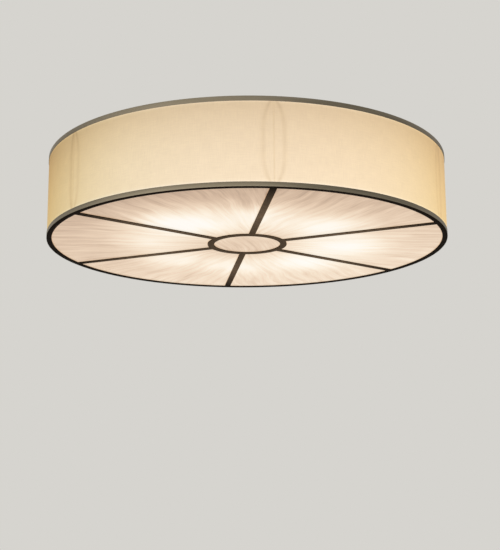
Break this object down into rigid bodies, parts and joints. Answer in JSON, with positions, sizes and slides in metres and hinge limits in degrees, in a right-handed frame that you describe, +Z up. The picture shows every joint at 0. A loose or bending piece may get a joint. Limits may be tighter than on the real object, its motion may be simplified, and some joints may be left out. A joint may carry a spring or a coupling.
{
  "type": "flush mount ceiling light",
  "caption": "Drum ceiling light with a linen-look side between metal bands and streaked diffuser panels lying in a flat spoked frame with a hub ring.",
  "frame": {"origin": "centre of the circle of ceiling screws, on the face that lies on the ceiling", "axes": "+Z up into the ceiling; one spoke of the diffuser frame points along -Y"},
  "size_m": [1.219, 1.2192, 0.254],
  "materials": {
    "plated_steel": "zinc plated",
    "white_enamel": "matt white powder coat on steel",
    "pewter_band": "satin pewter",
    "bronze_finish": "dark bronze, matt",
    "rod_wire": "matt off-white paint on steel",
    "shade_cloth": "fine linen weave on a stiff backing, lit from inside",
    "seam_tape": "matt",
    "streaked_acrylic": "translucent sheet with fine hair-like streaks, lit from inside",
    "glazed_porcelain": "glazed",
    "socket_brass": "plain",
    "opal_lamp": "opal, lit",
    "lead_sleeve": "matt sleeve",
    "bushing_plastic": "matt",
    "block_plastic": "matt",
    "connector_plastic": "matt",
    "earth_green": "green plated"
  },
  "bodies": {
    "drum": {"ceiling_plate": "plated_steel", "hanging_studs": "plated_steel", "cap_nuts": "bronze_finish", "hub_dish": "white_enamel", "top_band": "pewter_band", "top_inner_ring": "white_enamel", "top_arms": "white_enamel", "reflector_plate": "white_enamel", "lamp_ring": "white_enamel", "ring_screws": "plated_steel", "lampholders": "glazed_porcelain", "lampholder_screws": "plated_steel", "screw_shells": "socket_brass", "lamp_leads": "lead_sleeve", "lead_bushings": "bushing_plastic", "distribution_block": "block_plastic", "supply_leads": "lead_sleeve", "wire_connectors": "connector_plastic", "earth_screw": "earth_green", "seam_tapes": "seam_tape", "bottom_band": "pewter_band", "bottom_inner_ring": "bronze_finish", "rim": "bronze_finish", "hub_ring": "bronze_finish", "bowed_rod_1": "rod_wire", "bowed_rod_2": "rod_wire", "bowed_rod_3": "rod_wire", "bowed_rod_4": "rod_wire", "bowed_rod_5": "rod_wire", "bowed_rod_6": "rod_wire", "shade_panel_1": "shade_cloth", "shade_panel_2": "shade_cloth", "shade_panel_3": "shade_cloth", "shade_panel_4": "shade_cloth", "shade_panel_5": "shade_cloth", "shade_panel_6": "shade_cloth", "spoke_1": "bronze_finish", "spoke_2": "bronze_finish", "spoke_3": "bronze_finish", "spoke_4": "bronze_finish", "spoke_5": "bronze_finish", "spoke_6": "bronze_finish"},
    "diffuser_panel_1": {"diffuser_panel_1": "streaked_acrylic"},
    "diffuser_panel_2": {"diffuser_panel_2": "streaked_acrylic"},
    "diffuser_panel_3": {"diffuser_panel_3": "streaked_acrylic"},
    "diffuser_panel_4": {"diffuser_panel_4": "streaked_acrylic"},
    "diffuser_panel_5": {"diffuser_panel_5": "streaked_acrylic"},
    "diffuser_panel_6": {"diffuser_panel_6": "streaked_acrylic"},
    "diffuser_disc": {"diffuser_disc": "streaked_acrylic"},
    "lamp_1": {"lamp_1": "opal_lamp"},
    "lamp_2": {"lamp_2": "opal_lamp"},
    "lamp_3": {"lamp_3": "opal_lamp"},
    "lamp_4": {"lamp_4": "opal_lamp"},
    "lamp_5": {"lamp_5": "opal_lamp"},
    "lamp_6": {"lamp_6": "opal_lamp"},
    "lamp_7": {"lamp_7": "opal_lamp"},
    "lamp_8": {"lamp_8": "opal_lamp"}
  },
  "joints": [
    {"name": "diffuser_panel_1_lift", "type": "slide", "parent": "drum", "child": "diffuser_panel_1", "axis": [0, 0, 1], "range_m": [0, 0.035]},
    {"name": "diffuser_panel_2_lift", "type": "slide", "parent": "drum", "child": "diffuser_panel_2", "axis": [0, 0, 1], "range_m": [0, 0.035]},
    {"name": "diffuser_panel_3_lift", "type": "slide", "parent": "drum", "child": "diffuser_panel_3", "axis": [0, 0, 1], "range_m": [0, 0.035]},
    {"name": "diffuser_panel_4_lift", "type": "slide", "parent": "drum", "child": "diffuser_panel_4", "axis": [0, 0, 1], "range_m": [0, 0.035]},
    {"name": "diffuser_panel_5_lift", "type": "slide", "parent": "drum", "child": "diffuser_panel_5", "axis": [0, 0, 1], "range_m": [0, 0.035]},
    {"name": "diffuser_panel_6_lift", "type": "slide", "parent": "drum", "child": "diffuser_panel_6", "axis": [0, 0, 1], "range_m": [0, 0.035]},
    {"name": "diffuser_disc_lift", "type": "slide", "parent": "drum", "child": "diffuser_disc", "axis": [0, 0, 1], "range_m": [0, 0.035]},
    {"name": "lamp_1_withdraw", "type": "slide", "parent": "drum", "child": "lamp_1", "axis": [0, 0, -1], "range_m": [0, 0.03]},
    {"name": "lamp_2_withdraw", "type": "slide", "parent": "drum", "child": "lamp_2", "axis": [0, 0, -1], "range_m": [0, 0.03]},
    {"name": "lamp_3_withdraw", "type": "slide", "parent": "drum", "child": "lamp_3", "axis": [0, 0, -1], "range_m": [0, 0.03]},
    {"name": "lamp_4_withdraw", "type": "slide", "parent": "drum", "child": "lamp_4", "axis": [0, 0, -1], "range_m": [0, 0.03]},
    {"name": "lamp_5_withdraw", "type": "slide", "parent": "drum", "child": "lamp_5", "axis": [0, 0, -1], "range_m": [0, 0.03]},
    {"name": "lamp_6_withdraw", "type": "slide", "parent": "drum", "child": "lamp_6", "axis": [0, 0, -1], "range_m": [0, 0.03]},
    {"name": "lamp_7_withdraw", "type": "slide", "parent": "drum", "child": "lamp_7", "axis": [0, 0, -1], "range_m": [0, 0.03]},
    {"name": "lamp_8_withdraw", "type": "slide", "parent": "drum", "child": "lamp_8", "axis": [0, 0, -1], "range_m": [0, 0.03]}
  ]
}
